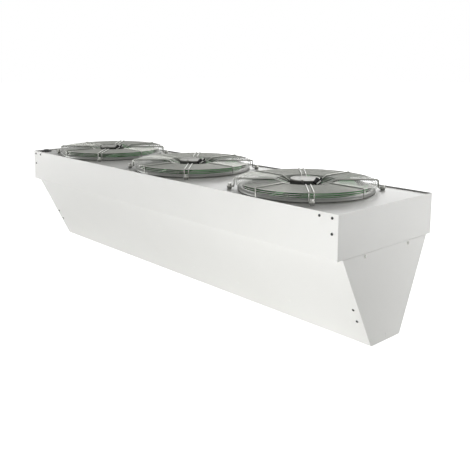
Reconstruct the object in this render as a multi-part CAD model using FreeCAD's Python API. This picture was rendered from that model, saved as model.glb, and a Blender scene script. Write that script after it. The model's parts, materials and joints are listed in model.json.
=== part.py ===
# Ambient air curtain: a folded sheet-steel case with three axial fans on its deck.
# Millimetres. X runs along the case, -Y is the front, Z is up, origin under the centre of the case's box.
import FreeCAD, Part
import math
import os

from FreeCAD import Vector

# Case
case_length = 2000.0
case_depth = 526.0
upper_height = 146.0
lower_height = 327.0
sheet = 1.5
side_inset = 26.0
outlet_front = 73.0
outlet_back = 92.0
seam_lip = 25.0
outlet_flange = 12.0
end_flange = 43.0
end_flange_gap = 3.0

# Deck
deck_sheet = 2.0
deck_recess = 5.0
deck_flange_height = 20.0
deck_flange_gap = 2.0

# Fans
fan_count = 3
fan_pitch_share = 0.325
fan_shift = -8.0
throat_inset = 31.0
nozzle_sheet = 2.0
nozzle_depth = 70.0
lip_height = 18.0
lip_r = 11.5
lip_drop = 13.0
fit_gap = 0.3

# Guard
wire = 4.0
ring_wire = 2.5
guard_margin = 5.0
guard_height = 38.0
guard_inner_r = 104.0
guard_base_r = 66.0
guard_base_height = 20.0
arm_end_height = 4.5
top_ring_count = 7
side_ring_heights = (30.0, 22.0)
arm_pair_gap = 17.0
arm_pair_reach = 4.0
foot_reach = 21.0
foot_spacer = 6.0
washer_height = 1.6
washer_r = 8.5
guard_bolt_across = 13.0
guard_bolt_head = 5.3
guard_bolt_r = 4.0
bolt_reach = 12.0

# Motor
flank_r = 57.5
flank_height = 37.5
cover_r = 56.0
cover_height = 41.0
cover_bevel = 1.2
cover_rim = 9.0
cover_dish = 2.0
tab_size = (5.0, 7.0, 9.0)
tab_height = 34.0
tab_turn = -50.0
motor_flange_r = 70.0
motor_flange = 3.5
bearing_r = 11.0
bearing_width = 7.0
bearing_clearance = 0.03
tube_wall = 3.0
tube_bottom = -36.0
shaft_r = 6.0
shaft_overhang = 4.0
core_r = 55.0
core_top = 4.0
core_bottom = -30.0
air_gap = 1.0
rotor_r = 64.0
rotor_top = 8.0
rotor_floor = 4.0
rotor_floor_gap = 2.0
plug_size = (14.0, 32.0, 12.0)
plug_place = (56.0, -1.0, 39.0)
latch_size = (11.0, 12.0, 10.0)
latch_place = (56.0, 19.5, 47.5)
ledge_size = (10.0, 18.0, 5.0)
ledge_place = (60.0, 8.0, 30.0)
plug_tilt = 30.0

# Impeller
blade_count = 7
hub_wall = 6.0
tip_gap = 4.0
blade_thickness = 4.0
blade_edge = 1.6
blade_camber = 7.0
blade_root_r = 50.0
blade_overrun = 5.0
root_chord = 66.0
tip_chord = 136.0
root_pitch = 36.0
tip_pitch = 25.0
blade_sweep = 24.0
root_centre = -16.0
tip_centre = -1.0
blade_sections = 4
blade_points = 5

# Outlet
rail_high = 101.0
rail_low = 69.0
vane_count = 2
vane_height = 42.0
vane_sheet = 1.5
vane_bottom = 10.0
bracket_count = 3
bracket_pitch_share = 0.25
bracket_sheet = 2.0
bracket_height = 40.0
bracket_bite = 11.0
bracket_gap = 0.3
spacer_height = 30.0

# Centre frame
frame_top = 60.0
frame_bottom = 150.0
frame_web = 28.0
frame_flange = 22.0

# Fasteners
screw_head_r = 4.75
screw_head = 2.6
screw_washer_r = 6.5
screw_washer = 1.0
screw_r = 2.5
screw_grip = 9.0
rivet_head_r = 3.4
rivet_head = 1.2
rivet_r = 1.6
rivet_grip = 4.5
corner_screw_inset = 23.0
inner_screw_inset = 73.0
upper_screw_drops = (13.0, 63.0)
lower_screw_inset = 24.0
lower_screw_slants = (211.0, 261.0)
seam_rivet_slant = 13.0
seam_rivet_inset = 25.0
seam_rivet_share = 0.12475
seam_rivet_count = 8
rail_rivet_rise = 86.0
rail_rivet_inset = 58.0
rail_rivet_count = 8
frame_rivet_slants = (93.0, 120.0)
end_rivet_heights = (14.0, 23.0)

# Hanging inserts
insert_y = 121.5
insert_drop = 9.5
insert_flange_r = 6.5
insert_flange = 1.0
insert_body_r = 5.5
insert_length = 17.0
insert_bore_r = 3.32

# Cable entry and terminal box
grommet_end_inset = 31.0
grommet_front_inset = 54.0
grommet_r = 26.0
grommet_rim = 5.0
grommet_bevel = 2.0
grommet_cap_r = 13.0
grommet_cap = 8.0
grommet_groove = 3.0
grommet_foot = 2.5
box_front_inset = 73.0
box_entry_r = 11.0
box_length = 84.0
box_width = 110.0
box_height = 60.0
box_wall = 2.5
box_drop = 16.0
box_cover = 3.0
box_post = 9.0
box_screw_r = 1.6
box_screw_head_r = 3.2
box_screw_head = 2.0
strip_length = 72.0
strip_width = 22.0
strip_height = 18.0
strip_ways = 6
strip_slot = 3.0

# Worked out from the sizes above
half_length = case_length / 2
half_depth = case_depth / 2
case_top = lower_height + upper_height
deck_top = case_top - deck_recess
outlet_centre = (outlet_back - outlet_front) / 2
guard_r = half_depth - guard_margin
foot_r = guard_r + foot_reach
throat_r = guard_r - throat_inset
nozzle_r = throat_r + nozzle_sheet
fan_pitch = case_length * fan_pitch_share
fan_places = [fan_shift + (i - (fan_count - 1) / 2) * fan_pitch for i in range(fan_count)]
hub_r = rotor_r + hub_wall
tip_r = throat_r - tip_gap
blade_tip_r = throat_r + blade_overrun
inside_x = half_length - sheet
corner_screw_x = half_length - corner_screw_inset
inner_screw_x = half_length - inner_screw_inset
lower_screw_x = half_length - lower_screw_inset
seam_rivet_first = half_length - seam_rivet_inset
seam_rivet_pitch = case_length * seam_rivet_share
rail_rivet_first = half_length - rail_rivet_inset
bracket_pitch = case_length * bracket_pitch_share
insert_z = lower_height - insert_drop
grommet_x = grommet_end_inset - half_length
grommet_y = grommet_front_inset - half_depth
box_y = box_front_inset - half_depth


def box(low, high):
    size = Vector(*high) - Vector(*low)
    return Part.makeBox(size.x, size.y, size.z, Vector(*low))


def prism(points, x0, x1):
    """A (y, z) outline pushed along X."""
    corners = [Vector(x0, y, z) for y, z in points]
    return Part.Face(Part.makePolygon(corners + corners[:1])).extrude(Vector(x1 - x0, 0, 0))


def turned(points):
    """An (r, z) outline turned about Z."""
    corners = [Vector(r, 0, z) for r, z in points]
    face = Part.Face(Part.makePolygon(corners + corners[:1]))
    return face.revolve(Vector(0, 0, 0), Vector(0, 0, 1), 360)


def ring(inner, outer, low, high):
    return turned([(inner, low), (outer, low), (outer, high), (inner, high)])


def pin(radius, base, axis, length):
    return Part.makeCylinder(radius, length, base, axis)


def hexagon(across, base, axis, length):
    """A hexagon prism of the given width across flats."""
    corner = across / math.sqrt(3)
    points = [Vector(corner * math.cos(a), corner * math.sin(a), 0)
              for a in (math.radians(60 * i) for i in range(7))]
    solid = Part.Face(Part.makePolygon(points)).extrude(Vector(0, 0, length))
    solid.Placement = FreeCAD.Placement(base, FreeCAD.Rotation(Vector(0, 0, 1), axis))
    return solid


def tilted_box(size, place, tilt):
    """A box about a centre, tilted about X."""
    solid = box([-s / 2 for s in size], [s / 2 for s in size])
    solid.Placement = FreeCAD.Placement(Vector(*place), FreeCAD.Rotation(Vector(1, 0, 0), tilt))
    return solid


def moved(solid, x=0.0, y=0.0, z=0.0, turn=0.0):
    copy = solid.copy()
    copy.rotate(Vector(0, 0, 0), Vector(0, 0, 1), turn)
    copy.translate(Vector(x, y, z))
    return copy


def save(name, *solids):
    shape = solids[0] if len(solids) == 1 else Part.makeCompound(list(solids))
    shape.exportStep(f"parts/{name}.step")
    print(name, len(shape.Solids), shape.isValid())


class Slope:
    """A sloping lower wall, seen along X: distances run down it, depths run inwards."""

    def __init__(self, side, foot):
        self.side = side
        self.top = (side * (half_depth - side_inset), lower_height)
        self.foot = (foot, 0.0)
        run = foot - self.top[0]
        self.length = math.hypot(run, lower_height)
        self.along = (run / self.length, -lower_height / self.length)
        self.inward = (self.side * self.along[1], -self.side * self.along[0])

    def at(self, distance, depth=0.0):
        return tuple(self.top[i] + self.along[i] * distance + self.inward[i] * depth for i in (0, 1))

    def level(self, z, depth=0.0):
        """The wall's y at a height, at a depth below its outer face."""
        start = self.at(0.0, depth)
        return start[0] + self.along[0] * (start[1] - z) / -self.along[1]

    def strip(self, first, last, depth, thickness):
        return [self.at(first, depth), self.at(last, depth),
                self.at(last, depth + thickness), self.at(first, depth + thickness)]

    def outward(self):
        return Vector(0, -self.inward[0], -self.inward[1])

    def point(self, x, distance, depth=0.0):
        y, z = self.at(distance, depth)
        return Vector(x, y, z)


front = Slope(-1, -outlet_front)
rear = Slope(1, outlet_back)
slopes = (front, rear)


def drilled(solid, holes):
    """Cuts (radius, centre, axis) holes right through the sheets at hand."""
    reach = 3 * sheet + deck_sheet
    for radius, centre, axis in holes:
        solid = solid.cut(pin(radius, centre - axis * reach, axis, 2 * reach))
    return solid


# Where the fasteners are: (centre on the outer face, outward axis)
def upper_screws():
    spots = []
    for side in (-1, 1):
        for end in (-1, 1):
            for x, drop in ((corner_screw_x, upper_screw_drops[0]), (inner_screw_x, upper_screw_drops[0]),
                            (corner_screw_x, upper_screw_drops[1])):
                spots.append((Vector(end * x, side * half_depth, case_top - drop), Vector(0, side, 0)))
    return spots


def lower_screws():
    return [(wall.point(end * lower_screw_x, slant), wall.outward())
            for wall in slopes for end in (-1, 1) for slant in lower_screw_slants]


def seam_rivets():
    return [(wall.point(seam_rivet_first - i * seam_rivet_pitch, seam_rivet_slant), wall.outward())
            for wall in slopes for i in range(seam_rivet_count)]


def rail_rivets():
    pitch = 2 * rail_rivet_first / (rail_rivet_count - 1)
    return [(wall.point(rail_rivet_first - i * pitch, wall.length - rail_rivet_rise), wall.outward())
            for wall in slopes for i in range(rail_rivet_count)]


def frame_rivets():
    return [(wall.point(0.0, slant), wall.outward()) for wall in slopes for slant in frame_rivet_slants]


def end_rivets():
    return [(Vector(end * half_length, outlet_centre, z), Vector(end, 0, 0))
            for end in (-1, 1) for z in end_rivet_heights]


def inserts():
    return [(Vector(end * half_length, side * insert_y, insert_z), Vector(end, 0, 0))
            for end in (-1, 1) for side in (-1, 1)]


def holes(spots, radius):
    return [(radius, centre, axis) for centre, axis in spots]


# Case sheets
def upper_panel(side):
    """An upright sheet, turned in at its foot and then down behind the lower panel."""
    wall = slopes[(side + 1) // 2]
    face = side * half_depth
    inner = side * (half_depth - sheet)
    turn = wall.level(lower_height, 2 * sheet)
    outline = [(face, lower_height), (face, case_top), (inner, case_top), (inner, lower_height + sheet),
               (turn, lower_height + sheet), (turn, lower_height)]
    lip = prism(wall.strip(0, seam_lip, sheet, sheet), -inside_x, inside_x)
    cuts = holes([s for s in upper_screws() if s[1].y == side], screw_r)
    cuts += holes([s for s in seam_rivets() if s[1].y * side > 0], rivet_r)
    return drilled(prism(outline, -inside_x, inside_x).fuse(lip).removeSplitter(), cuts)


def upper_end(end):
    """An end sheet with return flanges behind the front and rear panels."""
    plate = box((min(end * inside_x, end * half_length), -half_depth, lower_height),
                (max(end * inside_x, end * half_length), half_depth, case_top))
    returns = []
    for side in (-1, 1):
        xs = sorted((end * inside_x, end * (inside_x - end_flange)))
        ys = sorted((side * (half_depth - sheet), side * (half_depth - 2 * sheet)))
        returns.append(box((xs[0], ys[0], lower_height + sheet), (xs[1], ys[1], case_top)))
    return drilled(plate.fuse(returns).removeSplitter(),
                   holes([s for s in upper_screws() if s[0].x == end * corner_screw_x], screw_r))


def lower_panel(wall):
    """A sloping sheet with a narrow flange turned in at the outlet."""
    lip = wall.foot[0] - wall.side * outlet_flange
    outline = [wall.top, wall.foot, (lip, 0), (lip, sheet),
               (wall.level(sheet, sheet), sheet), (wall.level(lower_height, sheet), lower_height)]
    spots = lower_screws() + seam_rivets() + rail_rivets() + frame_rivets()
    mine = [s for s in spots if s[1].y * wall.side > 0]
    radii = [screw_r if s in lower_screws() else rivet_r for s in mine]
    return drilled(prism(outline, -inside_x, inside_x), [(r, s[0], s[1]) for r, s in zip(radii, mine)])


def lower_end(end):
    """A tapering end sheet with returns behind the sloping panels."""
    outline = [front.top, front.foot, rear.foot, rear.top]
    xs = sorted((end * inside_x, end * half_length))
    solid = prism(outline, *xs)
    flange = sorted((end * inside_x, end * (inside_x - end_flange)))
    first = seam_lip + end_flange_gap
    returns = [prism(wall.strip(first, wall.length - first, sheet, sheet), *flange) for wall in slopes]
    spots = [s for s in lower_screws() if s[0].x * end > 0]
    cuts = holes(spots, screw_r) + holes([s for s in end_rivets() if s[1].x == end], rivet_r)
    cuts += holes([s for s in inserts() if s[1].x == end], insert_body_r)
    return drilled(solid.fuse(returns).removeSplitter(), cuts)


def fan_deck():
    """The top sheet: fan openings, foot holes, cable hole, and flanges turned down front and rear."""
    low = deck_top - deck_sheet
    inner = half_depth - sheet - deck_sheet
    solid = box((-inside_x, -inner, low), (inside_x, inner, deck_top))
    flange_x = inside_x - end_flange - deck_flange_gap
    flanges = []
    for side in (-1, 1):
        ys = sorted((side * inner, side * (inner + deck_sheet)))
        flanges.append(box((-flange_x, ys[0], deck_top - deck_flange_height), (flange_x, ys[1], deck_top)))
    solid = solid.fuse(flanges).removeSplitter()
    up = Vector(0, 0, 1)
    cuts = [(nozzle_r + fit_gap, Vector(x, 0, deck_top), up) for x in fan_places]
    cuts += [(guard_bolt_r, spot, up) for x in fan_places for spot in foot_spots(x)]
    cuts.append((grommet_r - grommet_groove, Vector(grommet_x, grommet_y, deck_top), up))
    cuts += holes([s for s in upper_screws() if abs(s[0].x) == inner_screw_x], screw_r)
    return drilled(solid, cuts)


# Fan parts, at the fan's own axis with the deck's top at zero
def foot_spots(x):
    return [Vector(x + foot_r * math.cos(a), foot_r * math.sin(a), deck_top)
            for a in (math.radians(45 + 90 * i) for i in range(4))]


def line(start, end):
    return Part.LineSegment(start, end).toShape()


def nozzle():
    """A bellmouth: a short throat whose lip rolls out above the deck and ends turned down."""
    middle = throat_r + lip_r
    level = lip_height - lip_r
    edge = lip_height - lip_drop

    def wall(reach):
        foot = Vector(middle - reach, 0, -nozzle_depth)
        start = Vector(middle - reach, 0, level)
        end = Vector(middle + reach, 0, level)
        last = Vector(middle + reach, 0, edge)
        roll = Part.Arc(start, Vector(middle, 0, level + reach), end).toShape()
        return foot, last, [line(foot, start), roll, line(end, last)]

    foot, last, outer = wall(lip_r)
    inner_foot, inner_last, inner = wall(lip_r - nozzle_sheet)
    edges = outer + inner + [line(foot, inner_foot), line(last, inner_last)]
    section = Part.Face(Part.Wire(Part.__sortEdges__(edges)))
    return section.revolve(Vector(0, 0, 0), Vector(0, 0, 1), 360)


def bent_wire(points, width):
    """A wire bent in the (x, z) plane along its centre line, square in section."""
    half = wire / 2
    lines = [(Vector(*b) - Vector(*a)).normalize() for a, b in
             zip([(p[0], 0, p[1]) for p in points], [(p[0], 0, p[1]) for p in points[1:]])]
    sides = ([], [])
    for i, (r, z) in enumerate(points):
        before = lines[max(i - 1, 0)]
        after = lines[min(i, len(lines) - 1)]
        normals = [Vector(-d.z, 0, d.x) for d in (before, after)]
        mitre = (normals[0] + normals[1]).normalize()
        mitre = mitre * (half / mitre.dot(normals[0]))
        sides[0].append(Vector(r, -width / 2, z) + mitre)
        sides[1].append(Vector(r, -width / 2, z) - mitre)
    outline = sides[0] + sides[1][::-1]
    return Part.Face(Part.makePolygon(outline + outline[:1])).extrude(Vector(0, width, 0))


def arm_path(radius, *ends):
    """From the base ring up over the rings and out to the knee."""
    return [(guard_base_r - wire, guard_base_height), (guard_base_r + 2 * wire, guard_base_height),
            (guard_inner_r, guard_height), (radius, guard_height), *ends]


def single_arm():
    return bent_wire(arm_path(guard_r, (guard_r, arm_end_height)), wire)


def arm_pair():
    """Two arms that meet in an eye round the foot bolt."""
    eye = foot_spacer + wire / 2
    knee = guard_r + arm_pair_reach
    leg = bent_wire(arm_path(knee, (knee, eye), (foot_r, eye)), wire)
    middle = arm_pair_gap / 2
    half_ring = ring(middle - wire / 2, middle + wire / 2, eye - wire / 2, eye + wire / 2)
    half_ring = half_ring.common(box((0, -foot_r, -foot_r), (foot_r, foot_r, foot_r)))
    legs = [moved(leg, y=side * middle) for side in (-1, 1)]
    return moved(half_ring, x=foot_r).fuse(legs).removeSplitter()


def guard():
    """Rings inside a cage of four single arms and four pairs, on a base ring at the motor."""
    inner = guard_r - wire / 2 - ring_wire
    under = guard_height - wire / 2
    step = (inner - guard_inner_r) / (top_ring_count - 1)
    radii = [guard_inner_r + i * step for i in range(top_ring_count)]
    rings = [ring(r, r + ring_wire, under - ring_wire, under) for r in radii]
    rings += [ring(inner, inner + ring_wire, z - ring_wire / 2, z + ring_wire / 2) for z in side_ring_heights]
    base_top = guard_base_height - wire / 2
    rings.append(ring(guard_base_r - wire, guard_base_r, base_top - ring_wire, base_top))
    arms = [moved(single_arm(), turn=90 * i) for i in range(4)]
    pairs = [moved(arm_pair(), turn=45 + 90 * i) for i in range(4)]
    return rings + arms + pairs


def guard_bolts():
    """A bolt through each eye: spacer below, washer above, hexagon head."""
    up = Vector(0, 0, 1)
    solids = []
    for spot in foot_spots(0.0):
        base = spot - up * deck_top
        top = foot_spacer + wire
        spacer = pin(washer_r, base, up, foot_spacer).cut(pin(guard_bolt_r, base, up, foot_spacer))
        bolt = pin(guard_bolt_r, base - up * bolt_reach, up, bolt_reach + top)
        bolt = bolt.fuse([pin(washer_r, base + up * top, up, washer_height),
                          hexagon(guard_bolt_across, base + up * (top + washer_height), up, guard_bolt_head)])
        solids += [spacer, bolt.removeSplitter()]
    return solids


def motor_flange_top():
    return guard_base_height - wire / 2 - ring_wire


def connector():
    """The plug and, at its upper end, its latch."""
    return [tilted_box(plug_size, plug_place, plug_tilt), tilted_box(latch_size, latch_place, plug_tilt)]


def motor_housing():
    """The fixed half: a dished cover on a wider flank, the flange under the guard, and the bearing tube."""
    flange_top = motor_flange_top()
    flange_low = flange_top - motor_flange
    rim = cover_r - cover_bevel - cover_rim
    dish = cover_height - cover_dish
    cover = turned([(0, flange_low), (motor_flange_r, flange_low), (motor_flange_r, flange_top),
                    (flank_r, flange_top), (flank_r, flank_height), (cover_r, flank_height),
                    (cover_r, cover_height - cover_bevel),
                    (cover_r - cover_bevel, cover_height), (rim, cover_height), (rim - cover_dish, dish),
                    (0, dish)])
    tube = ring(bearing_r, bearing_r + tube_wall, tube_bottom, flange_low)
    ledge = tilted_box(ledge_size, ledge_place, plug_tilt)
    tab = moved(tilted_box(tab_size, (flank_r, 0, tab_height), 0), turn=tab_turn)
    solid = cover.fuse([tube, ledge, tab]).removeSplitter()
    return solid.cut(connector())


def stator_core():
    return ring(bearing_r + tube_wall, core_r, core_bottom, core_top)


def bearings():
    """Two ball races in the tube, as plain rings with the shaft's running clearance."""
    top = motor_flange_top() - motor_flange
    inner = shaft_r + bearing_clearance
    return [ring(inner, bearing_r, low, low + bearing_width)
            for low in (tube_bottom + tube_wall, top - bearing_width - tube_wall)]


def rotor():
    """The outer rotor: a cup open at the top, round the stator core."""
    floor_top = tube_bottom - rotor_floor_gap
    bore = core_r + air_gap
    floor = floor_top - rotor_floor
    return turned([(shaft_r, floor), (rotor_r, floor), (rotor_r, rotor_top), (bore, rotor_top),
                   (bore, floor_top), (shaft_r, floor_top)])


def shaft():
    bottom = tube_bottom - rotor_floor_gap - rotor_floor - shaft_overhang
    top = motor_flange_top() - motor_flange - bearing_clearance
    return pin(shaft_r, Vector(0, 0, bottom), Vector(0, 0, 1), top - bottom)


def blade_section(share):
    """A thin cambered section across the radius, at a share of the way from root to tip."""
    def between(a, b):
        return a + (b - a) * share

    radius = between(blade_root_r, blade_tip_r)
    chord = between(root_chord, tip_chord)
    pitch = math.radians(between(root_pitch, tip_pitch))
    turn = math.radians(blade_sweep * share ** 2)
    centre = between(root_centre, tip_centre)

    def face(sign):
        points = []
        for i in range(blade_points):
            along = i / (blade_points - 1)
            bow = 4 * along * (1 - along)
            across = blade_camber * bow + sign / 2 * (blade_edge + (blade_thickness - blade_edge) * bow)
            s = (along - 0.5) * chord
            t = s * math.cos(pitch) - across * math.sin(pitch)
            z = centre + s * math.sin(pitch) + across * math.cos(pitch)
            points.append(Vector(radius * math.cos(turn) - t * math.sin(turn),
                                 radius * math.sin(turn) + t * math.cos(turn), z))
        curve = Part.BSplineCurve()
        curve.interpolate(points)
        return points, curve.toShape()

    low, under = face(-1)
    high, over = face(1)
    return Part.Wire(Part.__sortEdges__([under, line(low[-1], high[-1]), over, line(high[0], low[0])]))


def impeller():
    """Sickle blades on a ring that grips the rotor."""
    floor = tube_bottom - rotor_floor_gap - rotor_floor
    hub = ring(rotor_r, hub_r, floor, rotor_top)
    sections = [blade_section(i / (blade_sections - 1)) for i in range(blade_sections)]
    blade = Part.makeLoft(sections, True)
    blade = blade.common(ring(rotor_r + hub_wall / 2, tip_r, -throat_r, throat_r))
    blades = [moved(blade, turn=360 / blade_count * i) for i in range(blade_count)]
    return hub.fuse(blades).removeSplitter()


# Inside and outlet
def outlet_rail(wall):
    """An angle behind the lower row of rivets that takes the vane brackets."""
    reach = inside_x - end_flange
    plate = prism(wall.strip(wall.length - rail_high, wall.length - rail_low, sheet, sheet), -reach, reach)
    spots = [s for s in rail_rivets() if s[1].y * wall.side > 0]
    return drilled(plate, holes(spots, rivet_r))


def vane_places():
    pitch = (outlet_back + outlet_front) / (vane_count + 1)
    return [-outlet_front + pitch * (i + 1) for i in range(vane_count)]


def air_vanes():
    """Long thin vanes that straighten the jet."""
    half = vane_sheet / 2
    return [box((-inside_x, y - half, vane_bottom), (inside_x, y + half, vane_bottom + vane_height))
            for y in vane_places()]


def vane_bracket(x):
    """A comb plate between the rails, slotted over the vanes."""
    low = vane_bottom + vane_height - bracket_bite
    high = low + bracket_height
    depth = 2 * sheet + bracket_gap
    ys = [(wall.level(low, depth), wall.level(high, depth)) for wall in slopes]
    outline = [(ys[0][0], low), (ys[1][0], low), (ys[1][1], high), (ys[0][1], high)]
    plate = prism(outline, x - bracket_sheet / 2, x + bracket_sheet / 2)
    half = vane_sheet / 2
    top = vane_bottom + vane_height
    slots = [box((x - bracket_sheet, y - half, low), (x + bracket_sheet, y + half, top))
             for y in vane_places()]
    return plate.cut(slots)


def end_spacer(end):
    """A small block between the vanes, riveted to the end sheet."""
    places = vane_places()
    xs = sorted((end * inside_x, end * (inside_x - bracket_sheet)))
    ys = (places[0] + vane_sheet / 2, places[-1] - vane_sheet / 2)
    plate = box((xs[0], ys[0], sheet), (xs[1], ys[1], sheet + spacer_height))
    return drilled(plate, holes([s for s in end_rivets() if s[1].x == end], rivet_r))


def vane_brackets():
    middle = (bracket_count - 1) / 2
    return [vane_bracket((i - middle) * bracket_pitch) for i in range(bracket_count)] + [
        end_spacer(end) for end in (-1, 1)]


def centre_frame():
    """A bulkhead with a wide opening, riveted to both sloping walls at mid length."""
    half = frame_flange / 2

    def loop(first, last, depth):
        return [front.at(first, depth), front.at(last, depth), rear.at(last, depth), rear.at(first, depth)]
    web = prism(loop(frame_top, frame_bottom, 2 * sheet), half - sheet, half)
    window = loop(frame_top + frame_web, frame_bottom - frame_web, frame_web)
    web = web.cut(prism(window, half - 2 * sheet, half + sheet))
    flanges = [prism(wall.strip(frame_top, frame_bottom, sheet, sheet), -half, half) for wall in slopes]
    return drilled(web.fuse(flanges).removeSplitter(), holes(frame_rivets(), rivet_r))


def box_frame():
    """The terminal box's outer corners: against the left end, under the cable entry."""
    x0 = -inside_x
    top = deck_top - deck_sheet - box_drop
    return (x0, box_y - box_width / 2, top - box_height), (x0 + box_length, box_y + box_width / 2, top)


def box_corners():
    low, high = box_frame()
    inset = box_post / 2
    return [Vector(x, y, low[2]) for x in (low[0] + inset, high[0] - inset)
            for y in (low[1] + inset, high[1] - inset)]


def terminal_box():
    low, high = box_frame()
    shell = box(low, high).cut(box((low[0] + box_wall, low[1] + box_wall, low[2]),
                                   (high[0] - box_wall, high[1] - box_wall, high[2] - box_wall)))
    half = box_post / 2
    posts = [box((c.x - half, c.y - half, low[2]), (c.x + half, c.y + half, high[2])) for c in box_corners()]
    shell = shell.fuse(posts).removeSplitter()
    roof = Vector(grommet_x, grommet_y, high[2] - 2 * box_wall)
    entry = pin(box_entry_r, roof, Vector(0, 0, 1), 3 * box_wall)
    bores = [pin(box_screw_r, c, Vector(0, 0, 1), box_height / 2) for c in box_corners()]
    return shell.cut([entry] + bores)


def terminal_box_cover():
    low, high = box_frame()
    plate = box((low[0], low[1], low[2] - box_cover), (high[0], high[1], low[2]))
    return plate.cut([pin(box_screw_r, c - Vector(0, 0, box_cover), Vector(0, 0, 1), box_cover)
                      for c in box_corners()])


def cover_screws():
    up = Vector(0, 0, 1)
    return [pin(box_screw_r, c - up * box_cover, up, box_cover + box_height / 2).fuse(
        pin(box_screw_head_r, c - up * (box_cover + box_screw_head), up, box_screw_head)).removeSplitter()
        for c in box_corners()]


def terminal_strip():
    """A block of screw terminals under the box's roof."""
    low, high = box_frame()
    x = high[0] - box_post - strip_width
    top = high[2] - box_wall
    first = box_y - strip_length / 2
    block = box((x, first, top - strip_height), (x + strip_width, first + strip_length, top))
    pitch = strip_length / strip_ways
    middles = [first + pitch * i for i in range(1, strip_ways)]
    slots = [box((x, y - strip_slot / 2, top - strip_height), (x + strip_width, y + strip_slot / 2,
                                                               top - strip_height / 2)) for y in middles]
    return block.cut(slots)


def cable_grommet():
    """A closed rubber grommet with a raised cap, grooved over the deck's edge."""
    neck = grommet_r - grommet_groove
    shoulder = grommet_r - grommet_bevel
    low = -deck_sheet
    profile = turned([(0, grommet_cap), (grommet_cap_r, grommet_cap), (grommet_cap_r, grommet_rim),
                      (shoulder, grommet_rim), (grommet_r, grommet_rim - grommet_bevel), (grommet_r, 0),
                      (neck, 0), (neck, low), (grommet_r, low), (neck, low - grommet_foot),
                      (0, low - grommet_foot)])
    return moved(profile, x=grommet_x, y=grommet_y, z=deck_top)


# Fasteners
def screw(centre, axis):
    """A raised head on a washer."""
    return pin(screw_r, centre - axis * screw_grip, axis, screw_grip + screw_washer).fuse([
        pin(screw_washer_r, centre, axis, screw_washer),
        pin(screw_head_r, centre + axis * screw_washer, axis, screw_head)]).removeSplitter()


def rivet(centre, axis):
    return pin(rivet_r, centre - axis * rivet_grip, axis, rivet_grip).fuse(
        pin(rivet_head_r, centre, axis, rivet_head)).removeSplitter()


def hanging_insert(centre, axis):
    """A threaded insert: a flange outside, a sleeve inside, bored right through."""
    sleeve = pin(insert_body_r, centre - axis * insert_length, axis, insert_length)
    flange = pin(insert_flange_r, centre, axis, insert_flange)
    bore = pin(insert_bore_r, centre - axis * 2 * insert_length, axis, 4 * insert_length)
    return sleeve.fuse(flange).removeSplitter().cut(bore)


os.makedirs("parts", exist_ok=True)
save("fan_deck", fan_deck())
save("upper_front_panel", upper_panel(-1))
save("upper_rear_panel", upper_panel(1))
save("upper_left_end", upper_end(-1))
save("upper_right_end", upper_end(1))
save("lower_front_panel", lower_panel(front))
save("lower_rear_panel", lower_panel(rear))
save("lower_left_end", lower_end(-1))
save("lower_right_end", lower_end(1))
save("centre_frame", centre_frame())
save("outlet_rail_front", outlet_rail(front))
save("outlet_rail_rear", outlet_rail(rear))
save("air_vanes", *air_vanes())
save("vane_brackets", *vane_brackets())
save("terminal_box", terminal_box())
save("terminal_box_cover", terminal_box_cover())
save("terminal_strip", terminal_strip())
save("cover_screws", *cover_screws())
save("cable_grommet", cable_grommet())
save("upper_screws", *[screw(*s) for s in upper_screws()])
save("lower_screws", *[screw(*s) for s in lower_screws()])
save("seam_rivets", *[rivet(*s) for s in seam_rivets()])
save("outlet_rivets", *[rivet(*s) for s in rail_rivets() + end_rivets()])
save("frame_rivets", *[rivet(*s) for s in frame_rivets()])
save("hanging_inserts", *[hanging_insert(*s) for s in inserts()])

fan_parts = {"inlet_nozzle": [nozzle()], "guard": guard(), "guard_bolts": guard_bolts(),
             "motor_housing": [motor_housing()], "stator_core": [stator_core()], "bearings": bearings(),
             "motor_connector": connector(),
             "rotor": [rotor()], "shaft": [shaft()], "impeller": [impeller()]}
for number, x in enumerate(fan_places, 1):
    for name, solids in fan_parts.items():
        save(f"{name}_{number}", *[moved(s, x=x, z=deck_top) for s in solids])
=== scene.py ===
# Air curtain: a white case that tapers to its outlet, with three guarded fans on a bright deck.
import json
import math

import bmesh
import bpy
from mathutils import Matrix, Vector


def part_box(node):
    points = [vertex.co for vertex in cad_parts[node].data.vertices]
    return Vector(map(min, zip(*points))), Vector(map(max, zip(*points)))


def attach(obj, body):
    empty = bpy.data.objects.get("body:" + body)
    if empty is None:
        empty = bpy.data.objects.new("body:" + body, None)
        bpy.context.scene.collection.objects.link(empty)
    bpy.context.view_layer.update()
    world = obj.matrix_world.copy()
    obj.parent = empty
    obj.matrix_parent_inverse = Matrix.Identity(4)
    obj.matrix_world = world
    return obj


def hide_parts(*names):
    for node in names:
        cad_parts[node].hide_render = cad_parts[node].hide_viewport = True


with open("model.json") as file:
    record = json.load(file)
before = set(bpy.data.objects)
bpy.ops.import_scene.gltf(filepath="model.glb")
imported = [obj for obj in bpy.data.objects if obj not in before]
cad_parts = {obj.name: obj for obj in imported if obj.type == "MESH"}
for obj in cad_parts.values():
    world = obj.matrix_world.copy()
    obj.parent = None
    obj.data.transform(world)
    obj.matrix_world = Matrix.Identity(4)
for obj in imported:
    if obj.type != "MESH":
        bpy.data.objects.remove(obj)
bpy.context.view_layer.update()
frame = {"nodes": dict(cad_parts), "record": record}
nodes = frame["nodes"]
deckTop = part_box("fan_deck")[1].z
fanNumbers = (1, 2, 3)
print("frame loaded:", len(nodes), "nodes")


def fanAxis(number):
    # where a fan's axis meets the deck
    low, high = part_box(f"rotor_{number}")
    return Vector(((low.x + high.x) / 2, (low.y + high.y) / 2, deckTop))


# Materials
def colour(text):
    # an sRGB hex value as linear red, green, blue and alpha
    parts = [int(text[i:i + 2], 16) / 255 for i in (1, 3, 5)]
    return [p / 12.92 if p <= 0.04045 else ((p + 0.055) / 1.055) ** 2.4 for p in parts] + [1.0]


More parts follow.
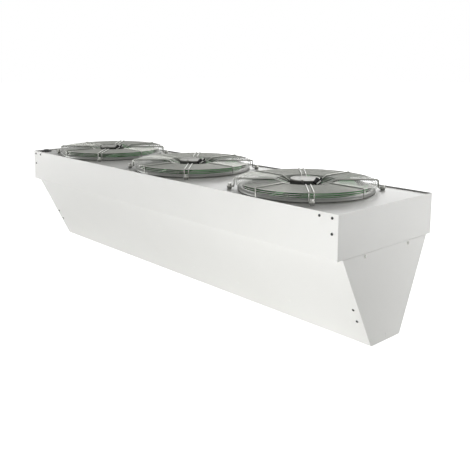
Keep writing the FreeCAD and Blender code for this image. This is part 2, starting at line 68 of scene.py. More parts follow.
def addNode(tree, kind, inputs=None, **settings):
    node = tree.nodes.new(kind)
    for name, value in settings.items():
        setattr(node, name, value)
    for name, value in (inputs or {}).items():
        if isinstance(value, bpy.types.NodeSocket):
            tree.links.new(value, node.inputs[name])
        else:
            node.inputs[name].default_value = value
    return node


def newTree(name):
    material = bpy.data.materials.new(name)
    material.use_nodes = True
    material.node_tree.nodes.clear()
    return material, material.node_tree


def finishTree(tree, shader):
    addNode(tree, "ShaderNodeOutputMaterial", {"Surface": shader.outputs[0]})


def addNoise(tree, grain, detail, roughness=0.5):
    # noise on the object's own coordinates; grain is the size of its spots in metres
    place = addNode(tree, "ShaderNodeTexCoord")
    return addNode(tree, "ShaderNodeTexNoise", {
        "Vector": place.outputs["Object"], "Scale": 1 / grain, "Detail": detail,
        "Roughness": roughness}).outputs["Fac"]


def mixTones(tree, noise, light, dark):
    mix = addNode(tree, "ShaderNodeMix", {"Factor": noise, "A": colour(light), "B": colour(dark)},
                  data_type="RGBA")
    return mix.outputs["Result"]


def varyRoughness(tree, noise, roughness, low, high):
    spread = addNode(tree, "ShaderNodeMapRange", {
        "Value": noise, "To Min": roughness * low, "To Max": roughness * high})
    return spread.outputs["Result"]


def addBump(tree, noise, strength, height):
    bump = addNode(tree, "ShaderNodeBump", {"Strength": strength, "Distance": height, "Height": noise})
    return bump.outputs["Normal"]


coatIor = 1.5    # lacquers and plastics


def powderCoat():
    # fine-textured polyester powder on folded steel: soft sheen, a faint pebbled skin, no sharp mirror
    look = {"white": "#eeeeeb", "dull": "#e6e6e2", "roughness": 0.42, "cloud": 0.35, "pebble": 0.0016,
            "pebbleStrength": 0.12, "pebbleHeight": 0.0002}
    material, tree = newTree("powderCoatWhite")
    cloud = addNoise(tree, look["cloud"], detail=3.0)
    pebble = addNoise(tree, look["pebble"], detail=2.0)
    shader = addNode(tree, "ShaderNodeBsdfPrincipled", {
        "Base Color": mixTones(tree, cloud, look["white"], look["dull"]),
        "Roughness": look["roughness"], "IOR": coatIor,
        "Normal": addBump(tree, pebble, look["pebbleStrength"], look["pebbleHeight"])})
    finishTree(tree, shader)
    return material


def deckEnamel():
    # smooth glossy coating on the deck sheet: mirrors what stands on it, blurred
    look = {"white": "#e9e9e4", "dull": "#e1e1db", "roughness": 0.38, "cloud": 0.3}
    material, tree = newTree("deckEnamelWhite")
    cloud = addNoise(tree, look["cloud"], detail=4.0)
    shader = addNode(tree, "ShaderNodeBsdfPrincipled", {
        "Base Color": mixTones(tree, cloud, look["white"], look["dull"]),
        "Roughness": varyRoughness(tree, cloud, look["roughness"], low=0.8, high=1.2),
        "IOR": coatIor})
    finishTree(tree, shader)
    return material


def metal(name, light, dark, roughness, grain, metallic=1.0):
    # a bare or plated metal: slow changes of tone over a fine grain
    look = {"strength": 0.08, "height": 0.0002}
    material, tree = newTree(name)
    tone = addNoise(tree, grain, detail=5.0, roughness=0.6)
    shader = addNode(tree, "ShaderNodeBsdfPrincipled", {
        "Base Color": mixTones(tree, tone, light, dark), "Metallic": metallic,
        "Roughness": varyRoughness(tree, tone, roughness, low=0.8, high=1.25),
        "Normal": addBump(tree, tone, look["strength"], look["height"])})
    finishTree(tree, shader)
    return material


def moulded(name, base, shade, roughness, grain=0.004):
    # a moulded plastic, rubber or lacquer: even colour with a light grain
    look = {"strength": 0.1, "height": 0.0003}
    material, tree = newTree(name)
    tone = addNoise(tree, grain, detail=3.0)
    shader = addNode(tree, "ShaderNodeBsdfPrincipled", {
        "Base Color": mixTones(tree, tone, base, shade), "Roughness": roughness, "IOR": coatIor,
        "Normal": addBump(tree, tone, look["strength"], look["height"])})
    finishTree(tree, shader)
    return material


# material name, light tone, dark tone, roughness, grain in metres and, for some metals, how metallic
finishes = {
    "powder_coat_white": powderCoat(),
    "deck_gloss_white": deckEnamel(),
    "nozzle_grey": metal("zincNozzle", "#8f908c", "#82837f", 0.4, 0.03, 0.6),    # pressed, zinc coated
    "guard_wire": metal("platedWire", "#9c9d97", "#868782", 0.3, 0.01),          # drawn, zinc plated
    "galvanised_steel": metal("galvanisedSheet", "#b8bbbb", "#9ea1a1", 0.42, 0.015),
    "zinc_fastener": metal("brightZinc", "#dcdcd7", "#c6c6c0", 0.34, 0.004, 0.6),
    "cast_aluminium": metal("castAluminium", "#8c8c86", "#80807a", 0.45, 0.006, 0.4),
    "rotor_black": moulded("rotorLacquer", "#1c1c1d", "#242425", 0.4),
    "core_steel": metal("coreSteel", "#77797a", "#626465", 0.45, 0.003),
    "bearing_steel": metal("bearingSteel", "#c4c5c6", "#b0b1b2", 0.18, 0.01),
    "plug_black": moulded("plugPlastic", "#080808", "#0e0e0e", 0.85, 0.001),
    "blade_green": moulded("bladePlastic", "#2a9636", "#248730", 0.45, 0.003),
    "screw_black": moulded("blackOxide", "#101010", "#1b1b1b", 0.35, 0.001),
    "rivet_white": moulded("rivetLacquer", "#f2f2ef", "#eaeae6", 0.35, 0.002),
    "rubber_black": moulded("blackRubber", "#131313", "#1c1c1c", 0.6, 0.002),
    "terminal_grey": moulded("terminalPlastic", "#8b8d8e", "#7e8081", 0.5, 0.003),
}
flankDark = moulded("motorFlank", "#70706d", "#5e5e5b", 0.6)
slotOf = {row["node"]: row["material_slot"] for row in frame["record"]["subparts"]}
for nodeName, obj in nodes.items():
    obj.data.materials.clear()
    obj.data.materials.append(finishes[slotOf[nodeName]])
print("materials made:", len(bpy.data.materials))


# Making pieces
mergeGap = 1e-6    # corners nearer than this are one
axisGap = 1e-7     # the same for corners on the axis of a turned piece
fullTurn = 2 * math.pi


def putDown(bm, name, slotName, body, *replaced, smooth=35, weigh=False, more=()):
    # turns a bmesh into a piece that rides on its body
    bmesh.ops.recalc_face_normals(bm, faces=bm.faces)
    for face in bm.faces:
        face.smooth = True
    for edge in bm.edges:
        edge.smooth = edge.calc_face_angle(0.0) < math.radians(smooth)
    mesh = bpy.data.meshes.new(name)
    bm.to_mesh(mesh)
    bm.free()
    piece = bpy.data.objects.new(name, mesh)
    bpy.context.scene.collection.objects.link(piece)
    mesh.materials.append(finishes[slotName])
    for extra in more:
        mesh.materials.append(extra)
    if weigh:
        evened = piece.modifiers.new("evenNormals", "WEIGHTED_NORMAL")
        evened.keep_sharp = True
    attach(piece, body)
    if replaced:
        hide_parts(*replaced)


def drawn(nodeName):
    # the node as it was drawn, with its triangles joined at their corners
    bm = bmesh.new()
    bm.from_mesh(nodes[nodeName].data)
    bmesh.ops.remove_doubles(bm, verts=bm.verts, dist=mergeGap)
    return bm


def copyOf(nodeName, pieceName, body):
    putDown(drawn(nodeName), pieceName, slotOf[nodeName], body, nodeName)


def joinTo(bm, shape):
    # a shape is made by itself first, because growing a large mesh is slow
    mesh = bpy.data.meshes.new("shape")
    shape.to_mesh(mesh)
    shape.free()
    bm.from_mesh(mesh)
    bpy.data.meshes.remove(mesh)


def addTurned(bm, profile, steps, place=Matrix(), closed=False):
    # an (r, z) section spun about Z, then put in place
    shape = bmesh.new()
    spots = [shape.verts.new((r, 0, z)) for r, z in profile]
    pairs = list(zip(spots, spots[1:])) + ([(spots[-1], spots[0])] if closed else [])
    edges = [shape.edges.new(pair) for pair in pairs]
    bmesh.ops.spin(shape, geom=spots + edges, cent=(0, 0, 0), axis=(0, 0, 1), angle=fullTurn,
                   steps=steps, use_merge=True)
    bmesh.ops.remove_doubles(shape, verts=shape.verts, dist=axisGap)
    bmesh.ops.transform(shape, matrix=place, verts=shape.verts)
    joinTo(bm, shape)


def addRing(bm, radius, height, wire, steps=128, sides=8):
    # a round wire bent to a ring
    shape = bmesh.new()
    turn = Matrix.Translation((radius, 0, height)) @ Matrix.Rotation(math.pi / 2, 4, "X")
    circle = bmesh.ops.create_circle(shape, segments=sides, radius=wire / 2, matrix=turn)["verts"]
    bmesh.ops.spin(shape, geom=circle + shape.edges[:], cent=(0, 0, 0), axis=(0, 0, 1),
                   angle=fullTurn, steps=steps, use_merge=True)
    joinTo(bm, shape)


def addWire(bm, points, wire, bends, sides=10, stepAngle=0.25):
    # a rod pushed along its straight runs and spun round its bends, with one radius for each corner
    shape = bmesh.new()
    points = [Vector(p) for p in points]
    heading = (points[1] - points[0]).normalized()
    turn = Matrix.Translation(points[0]) @ heading.to_track_quat("Z", "Y").to_matrix().to_4x4()
    bmesh.ops.create_circle(shape, cap_ends=True, segments=sides, radius=wire / 2, matrix=turn)
    edges = shape.edges[:]
    place = points[0]
    for here, after, bend in zip(points[1:], points[2:] + [None], list(bends) + [0.0]):
        heading = (here - place).normalized()
        back = 0.0
        if after is not None:
            onward = (after - here).normalized()
            angle = heading.angle(onward)
            back = bend * math.tan(angle / 2)
        stop = here - heading * back
        if (stop - place).length > mergeGap:
            grown = bmesh.ops.extrude_edge_only(shape, edges=edges)["geom"]
            verts = [g for g in grown if isinstance(g, bmesh.types.BMVert)]
            edges = [g for g in grown
                     if isinstance(g, bmesh.types.BMEdge) and all(v in verts for v in g.verts)]
            bmesh.ops.translate(shape, verts=verts, vec=stop - place)
        if after is not None:
            axis = heading.cross(onward).normalized()
            middle = stop + axis.cross(heading) * bend
            spun = bmesh.ops.spin(shape, geom=edges, cent=middle, axis=axis, angle=angle,
                                  steps=max(3, round(angle / stepAngle)))["geom_last"]
            edges = [g for g in spun if isinstance(g, bmesh.types.BMEdge)]
            place = here + onward * back
    bmesh.ops.edgeloop_fill(shape, edges=edges)
    joinTo(bm, shape)


def addBevel(bm, edges, width, segments):
    if edges:
        bmesh.ops.bevel(bm, geom=edges, offset=width, offset_type="OFFSET", segments=segments,
                        profile=0.5, affect="EDGES", material=-1, clamp_overlap=True)


def addBlock(bm, size, place, width, segments=3):
    # a block with its edges rounded
    block = place @ Matrix.Diagonal((*size, 1))
    made = bmesh.ops.create_cube(bm, size=1, matrix=block)["verts"]
    addBevel(bm, list({e for v in made for e in v.link_edges}), width, segments)


# Case sheets
slopePlan = {"topY": 0.237, "height": 0.327, "frontFoot": 0.073, "rearFoot": 0.092}
sheetPlan = {
    "foldOuter": 0.0022, "foldInner": 0.0007, "foldSteps": 4,    # radii that the press brake leaves
    "foldLength": 0.08, "foldAngle": 15,                         # what is longer and sharper is a fold
    "cutEdge": 0.00025, "cutSteps": 2, "cutAngle": 40,
    "thin": 0.003,        # a face no wider than this is a cut edge
    "flat": 1,            # faces that meet at a smaller angle are one
    "seam": 0.0006,       # the gap over the lower ends
}
caseSheets = {
    "upper_front_panel": "upperFrontSheet", "upper_rear_panel": "upperRearSheet",
    "upper_left_end": "upperLeftSheet", "upper_right_end": "upperRightSheet",
    "lower_front_panel": "lowerFrontSheet", "lower_rear_panel": "lowerRearSheet",
    "lower_left_end": "lowerLeftSheet", "lower_right_end": "lowerRightSheet",
    "fan_deck": "fanDeckSheet", "centre_frame": "centreFrameSheet",
}


def isSharp(edge, degrees):
    return edge.calc_face_angle(0.0) > math.radians(degrees)


def isThin(face):
    return face.calc_area() / max(edge.calc_length() for edge in face.edges) < sheetPlan["thin"]


def isFold(edge):
    return (edge.calc_length() > sheetPlan["foldLength"] and isSharp(edge, sheetPlan["foldAngle"])
            and not any(isThin(face) for face in edge.link_faces))


def makeSheet(nodeName, pieceName):
    # the sheet with its folds rounded and its cut edges broken
    plan = sheetPlan
    bm = drawn(nodeName)
    bmesh.ops.dissolve_limit(bm, angle_limit=math.radians(plan["flat"]), verts=bm.verts, edges=bm.edges)
    if nodeName in ("lower_left_end", "lower_right_end"):
        top = [v for v in bm.verts if v.co.z > slopePlan["height"] - mergeGap]
        bmesh.ops.translate(bm, verts=top, vec=(0, 0, -plan["seam"]))
    for convex, radius in ((True, plan["foldOuter"]), (False, plan["foldInner"])):
        folds = [e for e in bm.edges if e.is_convex == convex and isFold(e)]
        addBevel(bm, folds, radius, plan["foldSteps"])
    cuts = [e for e in bm.edges if isSharp(e, plan["cutAngle"])]
    addBevel(bm, cuts, plan["cutEdge"], plan["cutSteps"])
    putDown(bm, pieceName, slotOf[nodeName], "casing", nodeName, weigh=True)


for nodeName, pieceName in caseSheets.items():
    makeSheet(nodeName, pieceName)
print("case sheets made")


# Fan parts
armTurns = [math.radians(90 * i) for i in range(4)]         # single arms
pairTurns = [math.radians(45 + 90 * i) for i in range(4)]   # hairpins and their bolts
guardPlan = {
    "wire": 0.0024,           # rings
    "arm": 0.0042,            # arms and hairpins
    "rings": 20,
    "innerR": 0.1145,
    "outerR": 0.2553,
    "slopeRings": (0.081, 0.0895, 0.098, 0.1065),
    "sideRings": (0.0285, 0.0222),
    "top": 0.0385,            # the arms' centre line above the deck
    "armR": 0.2585,
    "armEnd": 0.0045,
    "pairR": 0.2625,
    "baseR": 0.066,           # the ring round the motor
    "baseTop": 0.0215,
    "tail": 0.004,            # how far an arm reaches inside that ring
    "flat": 0.008,            # and outside it, before it rises
    "slopeR": 0.117,          # where the rise ends
    "footR": 0.279,
    "pairGap": 0.017,
    "eyeTop": 0.008,
    "bend": 0.006,
    "eyeBend": 0.005,
}


def makeGuard(number):
    plan = guardPlan
    wire, arm, top, baseTop = plan["wire"], plan["arm"], plan["top"], plan["baseTop"]
    under = (arm + wire) / 2    # from an arm's centre line to that of a ring below it
    bm = bmesh.new()
    for i in range(plan["rings"]):
        share = i / (plan["rings"] - 1)
        addRing(bm, plan["innerR"] + (plan["outerR"] - plan["innerR"]) * share, top - under, wire)
    slopeFoot = plan["baseR"] + plan["flat"]
    rise = (top - baseTop) / (plan["slopeR"] - slopeFoot)
    for radius in plan["slopeRings"]:
        addRing(bm, radius, baseTop + (radius - slopeFoot) * rise - under * math.hypot(1, rise), wire)
    for height in plan["sideRings"]:
        addRing(bm, plan["outerR"], height, wire)
    addRing(bm, plan["baseR"] - arm / 2, baseTop - under, wire)
    start = [(plan["baseR"] - plan["tail"], 0, baseTop), (slopeFoot, 0, baseTop), (plan["slopeR"], 0, top)]
    single = start + [(plan["armR"], 0, top), (plan["armR"], 0, plan["armEnd"])]
    half = plan["pairGap"] / 2
    leg = start + [(plan["pairR"], 0, top), (plan["pairR"], 0, plan["eyeTop"]),
                   (plan["footR"] + half, 0, plan["eyeTop"])]
    hairpin = [(x, -half, z) for x, y, z in leg] + [(x, half, z) for x, y, z in reversed(leg)]
    bends = [plan["bend"]] * 3
    pairBends = bends + [plan["eyeBend"], half, half, plan["eyeBend"]] + bends
    for armTurn, pairTurn in zip(armTurns, pairTurns):
        turn = Matrix.Rotation(armTurn, 3, "Z")
        addWire(bm, [turn @ Vector(p) for p in single], arm, bends)
        turn = Matrix.Rotation(pairTurn, 3, "Z")
        addWire(bm, [turn @ Vector(p) for p in hairpin], arm, pairBends)
    bmesh.ops.translate(bm, verts=bm.verts, vec=fanAxis(number))
    putDown(bm, f"guardWires{number}", "guard_wire", "casing", f"guard_{number}", smooth=60)


boltPlan = {
    "spacerR": 0.0085, "spacer": 0.0059,
    "washerR": 0.0085, "washer": 0.002,
    "edge": 0.0004,           # broken edges of both
    "shankR": 0.004, "reach": 0.012,
    "across": 0.013, "head": 0.008,
    "chamfer": 0.0008,
}


def discProfile(hole, radius, base, thick, edge):
    # the section of a washer with its outer edges broken
    return [(hole, base), (radius - edge, base), (radius, base + edge), (radius, base + thick - edge),
            (radius - edge, base + thick), (hole, base + thick)]


def makeGuardBolts(number):
    # on the deck a spacer, then the wire eye, a washer and a hexagon head with its upper edges turned off
    plan = boltPlan
    bolts = bmesh.new()
    spacers = bmesh.new()
    washerBase = plan["spacer"] + guardPlan["arm"]
    headBase = washerBase + plan["washer"]
    shankR, reach = plan["shankR"], plan["reach"]
    spacer = discProfile(shankR, plan["spacerR"], 0.0, plan["spacer"], plan["edge"])
    washer = discProfile(shankR, plan["washerR"], washerBase, plan["washer"], plan["edge"])
    shank = [(0, -reach), (shankR, -reach), (shankR, headBase), (0, headBase)]
    corner = plan["across"] / math.sqrt(3)
    for angle in pairTurns:
        spot = fanAxis(number) + Vector((math.cos(angle), math.sin(angle), 0)) * guardPlan["footR"]
        place = Matrix.Translation(spot)
        addTurned(spacers, spacer, steps=32, place=place, closed=True)
        addTurned(bolts, washer, steps=32, place=place, closed=True)
        addTurned(bolts, shank, steps=20, place=place)
        middle = place @ Matrix.Translation((0, 0, headBase + plan["head"] / 2))
        made = bmesh.ops.create_cone(bolts, cap_ends=True, segments=6, radius1=corner, radius2=corner,
                                     depth=plan["head"], matrix=middle)["verts"]
        upper = [v for v in made if v.co.z > spot.z + headBase + plan["head"] / 2]
        rim = {e for v in upper for e in v.link_edges if all(w in upper for w in e.verts)}
        addBevel(bolts, list(rim), plan["chamfer"], segments=2)
    putDown(bolts, f"guardBolts{number}", "zinc_fastener", "casing", f"guard_bolts_{number}", weigh=True)
    putDown(spacers, f"guardSpacers{number}", "nozzle_grey", "casing")


motorPlan = {
    "flangeR": 0.070, "flangeLow": 0.012, "flangeTop": 0.0155,
    "flankR": 0.0575,
    "coverR": 0.056, "coverLow": 0.0375, "coverTop": 0.041,
    "step": 0.0012,           # how far the cover's edge is set down
    "rim": 0.009,             # width of the raised rim
    "dish": 0.0008,           # how deep the middle lies
    "groove": 0.0016,         # width and depth of the groove inside the rim
    "circle": (0.62, 0.58),   # a fine turned circle, as shares of the rim's radius
    "soft": 0.0007,           # broken edges
    "tubeR": 0.014, "tubeLow": -0.036,
    "ribs": 48, "ribWide": 0.0016, "ribDeep": 0.0005,
    "tab": (0.006, 0.008, 0.013), "tabHeight": 0.0375, "tabTurn": -61.0, "tabRound": 0.0006,
}


def coverProfile():
    # the motor's section from the middle of its flange, up its flank and in over its cover
    plan = motorPlan
    soft, step, groove = plan["soft"], plan["step"], plan["groove"]
    flangeR, low, shelf = plan["flangeR"], plan["flangeLow"], plan["flangeTop"]
    flankR, coverR, neck, top = plan["flankR"], plan["coverR"], plan["coverLow"], plan["coverTop"]
    dish = top - plan["dish"]
    rim = coverR - step - plan["rim"]
    outer, inner = (rim * share for share in plan["circle"])
    flange = [(0, low), (flangeR - soft, low), (flangeR, low + soft), (flangeR, shelf - soft),
              (flangeR - soft, shelf)]
    flank = [(flankR + soft, shelf), (flankR, shelf + soft), (flankR, neck - soft), (flankR - soft, neck)]
    edge = [(coverR, neck), (coverR, top - step), (coverR - soft, top - soft), (coverR - step, top)]
    sunk = [(rim + soft, top), (rim, top - soft), (rim, dish - groove), (rim - groove, dish - groove),
            (rim - groove, dish)]
    circle = [(outer, dish), (outer - soft, dish - soft), (inner, dish - soft), (inner - soft, dish)]
    return flange + flank + edge + sunk + circle + [(0, dish)]


def makeMotor(number):
    # a turned cover on a dark ribbed flank, with a small locating tab and the axle tube below
    plan = motorPlan
    soft, low, shelf, neck = plan["soft"], plan["flangeLow"], plan["flangeTop"], plan["coverLow"]
    tubeR, tubeLow = plan["tubeR"], plan["tubeLow"]
    bm = bmesh.new()
    addTurned(bm, coverProfile(), steps=96)
    addTurned(bm, [(0, low), (tubeR, low), (tubeR, tubeLow), (0, tubeLow)], steps=48)
    for face in bm.faces:
        face.material_index = int(shelf + soft / 2 < face.calc_center_median().z < neck + soft / 2)
    move = Matrix.Translation((plan["flankR"], 0, (shelf + neck) / 2))
    size = Matrix.Diagonal((2 * plan["ribDeep"], plan["ribWide"], neck - shelf, 1))
    for i in range(plan["ribs"]):
        turn = Matrix.Rotation(fullTurn * i / plan["ribs"], 4, "Z")
        made = bmesh.ops.create_cube(bm, size=1, matrix=turn @ move @ size)["verts"]
        for face in {f for v in made for f in v.link_faces}:
            face.material_index = 1
    turn = Matrix.Rotation(math.radians(plan["tabTurn"]), 4, "Z")
    tabPlace = turn @ Matrix.Translation((plan["flankR"], 0, plan["tabHeight"]))
    addBlock(bm, plan["tab"], tabPlace, plan["tabRound"], segments=2)
    bmesh.ops.translate(bm, verts=bm.verts, vec=fanAxis(number))
    putDown(bm, f"motorCover{number}", "cast_aluminium", "casing", f"motor_housing_{number}", smooth=30,
            more=(flankDark,))


plugPlan = {
    # size, place from the fan's axis and tilt about X in degrees
    "plug": ((0.012, 0.024, 0.011), (0.0575, -0.0095, 0.039), 40.0),
    "latch": ((0.006, 0.014, 0.005), (0.057, 0.015, 0.043), 40.0),
    "root": ((0.016, 0.028, 0.006), (0.06, -0.002, 0.033), 30.0),
    "ledge": ((0.005, 0.0215, 0.004), (0.0695, -0.01, 0.0355), 22.0),
    "round": 0.0008,
}


def makePlug(number):
    # the black socket on the motor's rim, a latch beside it and the pale ledge under both
    base = Matrix.Translation(fanAxis(number))
    black = bmesh.new()
    ledge = bmesh.new()
    for bm, names in ((black, ("plug", "latch", "root")), (ledge, ("ledge",))):
        for name in names:
            size, spot, tilt = plugPlan[name]
            place = base @ Matrix.Translation(spot) @ Matrix.Rotation(math.radians(tilt), 4, "X")
            addBlock(bm, size, place, plugPlan["round"])
    putDown(black, f"motorPlug{number}", "plug_black", "casing", f"motor_connector_{number}", weigh=True)
    putDown(ledge, f"plugLedge{number}", "zinc_fastener", "casing", weigh=True)


nozzlePlan = {"sheet": 0.002, "lipR": 0.0105, "lipTop": 0.0148, "lipSteps": 14, "skirt": 0.0004,
              "hem": 0.0006, "depth": 0.070, "steps": 144}


def makeNozzle(number):
    # a spun bellmouth: straight throat, rolled lip, and a skirt turned down to just above the deck
    plan = nozzlePlan
    low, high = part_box(f"inlet_nozzle_{number}")
    outer = (high.x - low.x) / 2
    faceR, backR = plan["lipR"], plan["lipR"] - plan["sheet"]
    middle, level = outer - faceR, plan["lipTop"] - faceR
    skirt, hem, throat = plan["skirt"], plan["hem"], -plan["depth"]
    angles = [math.pi * (1 - i / plan["lipSteps"]) for i in range(plan["lipSteps"] + 1)]
    face = [(middle + faceR * math.cos(a), level + faceR * math.sin(a)) for a in angles]
    back = [(middle + backR * math.cos(a), level + backR * math.sin(a)) for a in reversed(angles)]
    edge = [(outer, skirt + hem), (outer - hem, skirt), (outer - plan["sheet"], skirt)]
    profile = [(middle - faceR, throat)] + face + edge + back + [(middle - backR, throat)]
    bm = bmesh.new()
    addTurned(bm, profile, plan["steps"], Matrix.Translation(fanAxis(number)), closed=True)
    putDown(bm, f"inletNozzle{number}", "nozzle_grey", "casing", f"inlet_nozzle_{number}", smooth=50)


for number in fanNumbers:
    makeGuard(number)
    makeGuardBolts(number)
    makeMotor(number)
    makePlug(number)
    makeNozzle(number)
    copyOf(f"impeller_{number}", f"fanBlades{number}", f"fan_{number}")
    print("fan made:", number)


# Fasteners
frontOut = Vector((0, -slopePlan["height"], slopePlan["frontFoot"] - slopePlan["topY"])).normalized()
rearOut = Vector((0, slopePlan["height"], slopePlan["rearFoot"] - slopePlan["topY"])).normalized()
seatPlan = {"endX": 0.99, "cap": 0.0002}    # further out is an end panel; how deep the top of a head is
domeEnd = 60                                # degrees of arc up the side of a domed head


def islands(nodeName):
    # the corners of each separate solid in a node
    bm = drawn(nodeName)
    left = set(bm.verts)
    groups = []
    while left:
        group = {left.pop()}
        edge = set(group)
        while edge:
            edge = {e.other_vert(v) for v in edge for e in v.link_edges} - group
            group |= edge
        left -= group
        groups.append([v.co.copy() for v in group])
    bm.free()
    return groups


def headPlaces(nodeName, headHeight):
    # where each fastener meets its sheet, turned so that Z points outwards
    places = []
    for corners in islands(nodeName):
        middle = sum(corners, Vector()) / len(corners)
        if nodeName == "upper_screws":
            out = Vector((0, math.copysign(1, middle.y), 0))
        elif nodeName == "hanging_inserts" or abs(middle.x) > seatPlan["endX"]:
            out = Vector((math.copysign(1, middle.x), 0, 0))
        else:
            out = frontOut if middle.y < 0 else rearOut
        reach = max(c.dot(out) for c in corners)
        cap = [c for c in corners if c.dot(out) > reach - seatPlan["cap"]]
        spot = sum(cap, Vector()) / len(cap) - out * headHeight
        places.append(Matrix.Translation(spot) @ out.to_track_quat("Z", "Y").to_matrix().to_4x4())
    return places


def domeSide(radius, base, height, steps):
    # the section of a domed head, from its edge to the flat or hollow in its middle
    angles = [math.radians(domeEnd * i / steps) for i in range(steps + 1)]
    return [(radius * math.cos(a), base + height * math.sin(a)) for a in angles]


screwPlan = {
    "washerR": 0.0065, "washer": 0.001, "washerRound": 0.0003,
    "headR": 0.00475, "head": 0.0026, "rim": 0.0006,             # the rim stands straight under the dome
    "socketR": 0.0022, "socketFoot": 0.9, "socketLip": 0.0003, "socket": 0.0018,
    "shankR": 0.0025, "grip": 0.009,
}


def makeScrews(nodeName, pieceName):
    # black button heads with a recess for the key, on white washers
    plan = screwPlan
    headR, shankR, grip, washerR = plan["headR"], plan["shankR"], plan["grip"], plan["washerR"]
    socketR, soft, seat = plan["socketR"], plan["washerRound"], plan["washer"]
    top = seat + plan["head"]
    floor = top - plan["socket"]
    dome = domeSide(headR, seat + plan["rim"], plan["head"] - plan["rim"], steps=4)
    recess = [(socketR, top - plan["socketLip"]), (socketR * plan["socketFoot"], floor), (0, floor)]
    screw = [(0, -grip), (shankR, -grip), (shankR, seat), (headR, seat)] + dome + recess
    washer = [(shankR, 0), (washerR, 0), (washerR, seat - soft), (washerR - soft, seat), (shankR, seat)]
    screws = bmesh.new()
    washers = bmesh.new()
    for place in headPlaces(nodeName, top):
        addTurned(screws, screw, steps=24, place=place)
        addTurned(washers, washer, steps=32, place=place, closed=True)
    putDown(screws, pieceName, "screw_black", "casing", nodeName)
    putDown(washers, pieceName + "Washers", "rivet_white", "casing")


rivetPlan = {
    "headR": 0.0034, "head": 0.0012, "rim": 0.0003,
    "dimpleR": 0.00102, "dimpleFoot": 0.000884, "dimple": 0.00048,
    "shankR": 0.0016, "grip": 0.0045,
}


def makeRivets(nodeName, pieceName):
    # domed heads with the small dimple that the pulled pin leaves
    plan = rivetPlan
    headR, head, shankR, grip = plan["headR"], plan["head"], plan["shankR"], plan["grip"]
    floor = head - plan["dimple"]
    dome = domeSide(headR, plan["rim"], head - plan["rim"], steps=3)
    dimple = [(plan["dimpleR"], head), (plan["dimpleFoot"], floor), (0, floor)]
    rivet = [(0, -grip), (shankR, -grip), (shankR, 0), (headR, 0)] + dome + dimple
    bm = bmesh.new()
    for place in headPlaces(nodeName, head):
        addTurned(bm, rivet, steps=20, place=place)
    putDown(bm, pieceName, "rivet_white", "casing", nodeName)


insertPlan = {"flangeR": 0.0065, "flange": 0.001, "edge": 0.0003, "funnelR": 0.0056, "funnel": 0.003,
              "boreR": 0.0033, "bodyR": 0.0055, "length": 0.017}


def makeInserts():
    # threaded inserts with a bright funnel at the mouth
    plan = insertPlan
    bore, body, length, flangeR = plan["boreR"], plan["bodyR"], plan["length"], plan["flangeR"]
    top, edge = plan["flange"], plan["edge"]
    insert = [(bore, -length), (body, -length), (body, 0), (flangeR, 0), (flangeR, top - edge),
              (flangeR - edge, top), (plan["funnelR"], top), (bore, top - plan["funnel"])]
    bm = bmesh.new()
    for place in headPlaces("hanging_inserts", top):
        addTurned(bm, insert, steps=32, place=place, closed=True)
    putDown(bm, "hangingInserts", "zinc_fastener", "casing", "hanging_inserts")


grommetPlan = {
    "r": 0.026, "rim": 0.0065, "rimRound": 0.0025,
    "capR": 0.013, "cap": 0.0105, "capRound": 0.002,
    "corner": 0.3,            # how far in a round's middle lies, as a share of its radius
    "neckR": 0.023,
    "deck": 0.002,            # the sheet that it grips
    "foot": 0.0025,
}


def makeGrommet():
    # a closed rubber grommet with a raised cap
    plan = grommetPlan
    low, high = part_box("cable_grommet")
    place = Matrix.Translation(((low.x + high.x) / 2, (low.y + high.y) / 2, deckTop))
    r, rim, capR, cap, neckR, deck = (plan[key] for key in ("r", "rim", "capR", "cap", "neckR", "deck"))
    turn, capTurn = plan["rimRound"], plan["capRound"]
    cut, capCut = turn * plan["corner"], capTurn * plan["corner"]
    raised = [(0, cap), (capR - capTurn, cap), (capR - capCut, cap - capCut), (capR, cap - capTurn),
              (capR + capCut, rim + capCut / 2), (capR + capTurn, rim)]
    flange = [(r - turn, rim), (r - cut, rim - cut), (r, rim - turn), (r, 0)]
    foot = -deck - plan["foot"]
    below = [(neckR, 0), (neckR, -deck), (r, -deck), (neckR, foot), (0, foot)]
    bm = bmesh.new()
    addTurned(bm, raised + flange + below, steps=64, place=place)
    putDown(bm, "cableGrommet", "rubber_black", "casing", "cable_grommet")


makeScrews("upper_screws", "upperScrews")
makeScrews("lower_screws", "lowerScrews")
makeRivets("seam_rivets", "seamRivets")
makeRivets("outlet_rivets", "outletRivets")
makeRivets("frame_rivets", "frameRivets")
makeInserts()
makeGrommet()
print("fasteners made")


# Room and light
roomPlan = {"floor": "#ececec", "floorHalf": 30, "skyLight": 0.07}


def seenByEye(tree):
    # one where the eye looks, straight or by way of gloss or glass, and nought where only light goes
    path = addNode(tree, "ShaderNodeLightPath")
    seen = path.outputs["Is Camera Ray"]
    for kind in ("Is Glossy Ray", "Is Transmission Ray"):
        larger = addNode(tree, "ShaderNodeMath", {0: seen, 1: path.outputs[kind]}, operation="MAXIMUM")
        seen = larger.outputs[0]
    return seen


def makeFloor():
    # a plain white ground: to the eye as white as the sky, and a soft bounce for the object
    bm = bmesh.new()
    bmesh.ops.create_grid(bm, x_segments=1, y_segments=1, size=roomPlan["floorHalf"])
    mesh = bpy.data.meshes.new("studioFloor")
    bm.to_mesh(mesh)
    bm.free()
    floor = bpy.data.objects.new("studioFloor", mesh)
    bpy.context.scene.collection.objects.link(floor)
    material, tree = newTree("studioWhite")
    white = addNode(tree, "ShaderNodeEmission", {"Strength": seenByEye(tree)})
    matt = addNode(tree, "ShaderNodeBsdfDiffuse", {"Color": colour(roomPlan["floor"])})
    both = addNode(tree, "ShaderNodeAddShader", {0: matt.outputs[0], 1: white.outputs[0]})
    finishTree(tree, both)
    mesh.materials.append(material)


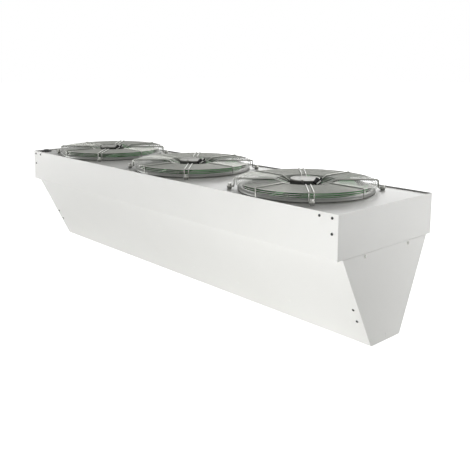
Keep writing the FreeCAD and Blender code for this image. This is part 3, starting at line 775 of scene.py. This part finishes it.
def makeWorld():
    # an even white studio: weaker as light than as the background that gloss shows
    world = bpy.data.worlds.new("studio")
    bpy.context.scene.world = world
    world.use_nodes = True
    tree = world.node_tree
    tree.nodes.clear()
    strength = addNode(tree, "ShaderNodeMapRange", {
        "Value": seenByEye(tree), "To Min": roomPlan["skyLight"], "To Max": 1.0})
    sky = addNode(tree, "ShaderNodeBackground", {
        "Color": (1, 1, 1, 1), "Strength": strength.outputs["Result"]})
    addNode(tree, "ShaderNodeOutputWorld", {"Surface": sky.outputs[0]})


lampPlan = {
    # place, what it points at, width and height, watts
    "farLight": ((-2.6, -1.6, 0.62), (-0.9, 0, 0.45), (0.8, 0.2), 26),
    "midLight": ((0, -2.0, 0.03), (0, 0, 0.2), (1.2, 0.2), 11.5),
    "lowLight": ((1.1, -1.6, 0.03), (0.8, 0, 0.25), (0.8, 0.2), 17.5),
    "nearLight": ((2.4, -2.1, 0.6), (0.6, 0, 0.46), (0.6, 0.2), 2),
    "endLight": ((2.4, 1.3, 0.42), (1.0, 0.2, 0.38), (0.8, 0.5), 16.5),
    "rearFill": ((-2.6, 4.0, 2.5), (0, 0, 0.3), (3.0, 2.0), 62),
    "backLight": ((0.6, 2.4, 2.0), (0, 0, 0.47), (2.0, 0.6), 26),
}


def makeLamp(name):
    place, target, size, power = lampPlan[name]
    data = bpy.data.lights.new(name, "AREA")
    data.shape = "RECTANGLE"
    data.size, data.size_y = size
    data.energy = power
    lamp = bpy.data.objects.new(name, data)
    lamp.location = place
    lamp.rotation_euler = (Vector(target) - Vector(place)).to_track_quat("-Z", "Y").to_euler()
    bpy.context.scene.collection.objects.link(lamp)


cameraPlan = {"azimuth": 48.32, "elevation": 8.51, "place": (2.1963, -1.8071, 0.9196), "lens": 50.22,
              "shiftX": 0.0334, "shiftY": -0.1538}


def makeCamera():
    plan = cameraPlan
    azimuth, elevation = math.radians(plan["azimuth"]), math.radians(plan["elevation"])
    back = Vector((math.sin(azimuth) * math.cos(elevation), -math.cos(azimuth) * math.cos(elevation),
                   math.sin(elevation)))
    data = bpy.data.cameras.new("camera")
    data.lens = plan["lens"]
    data.shift_x, data.shift_y = plan["shiftX"], plan["shiftY"]
    camera = bpy.data.objects.new("camera", data)
    camera.location = plan["place"]
    camera.rotation_mode = "QUATERNION"
    camera.rotation_quaternion = (-back).to_track_quat("-Z", "Y")
    bpy.context.scene.collection.objects.link(camera)
    bpy.context.scene.camera = camera


makeFloor()
makeWorld()
for lampName in lampPlan:
    makeLamp(lampName)
makeCamera()
bpy.context.scene.view_settings.view_transform = "Standard"
print("studio made")
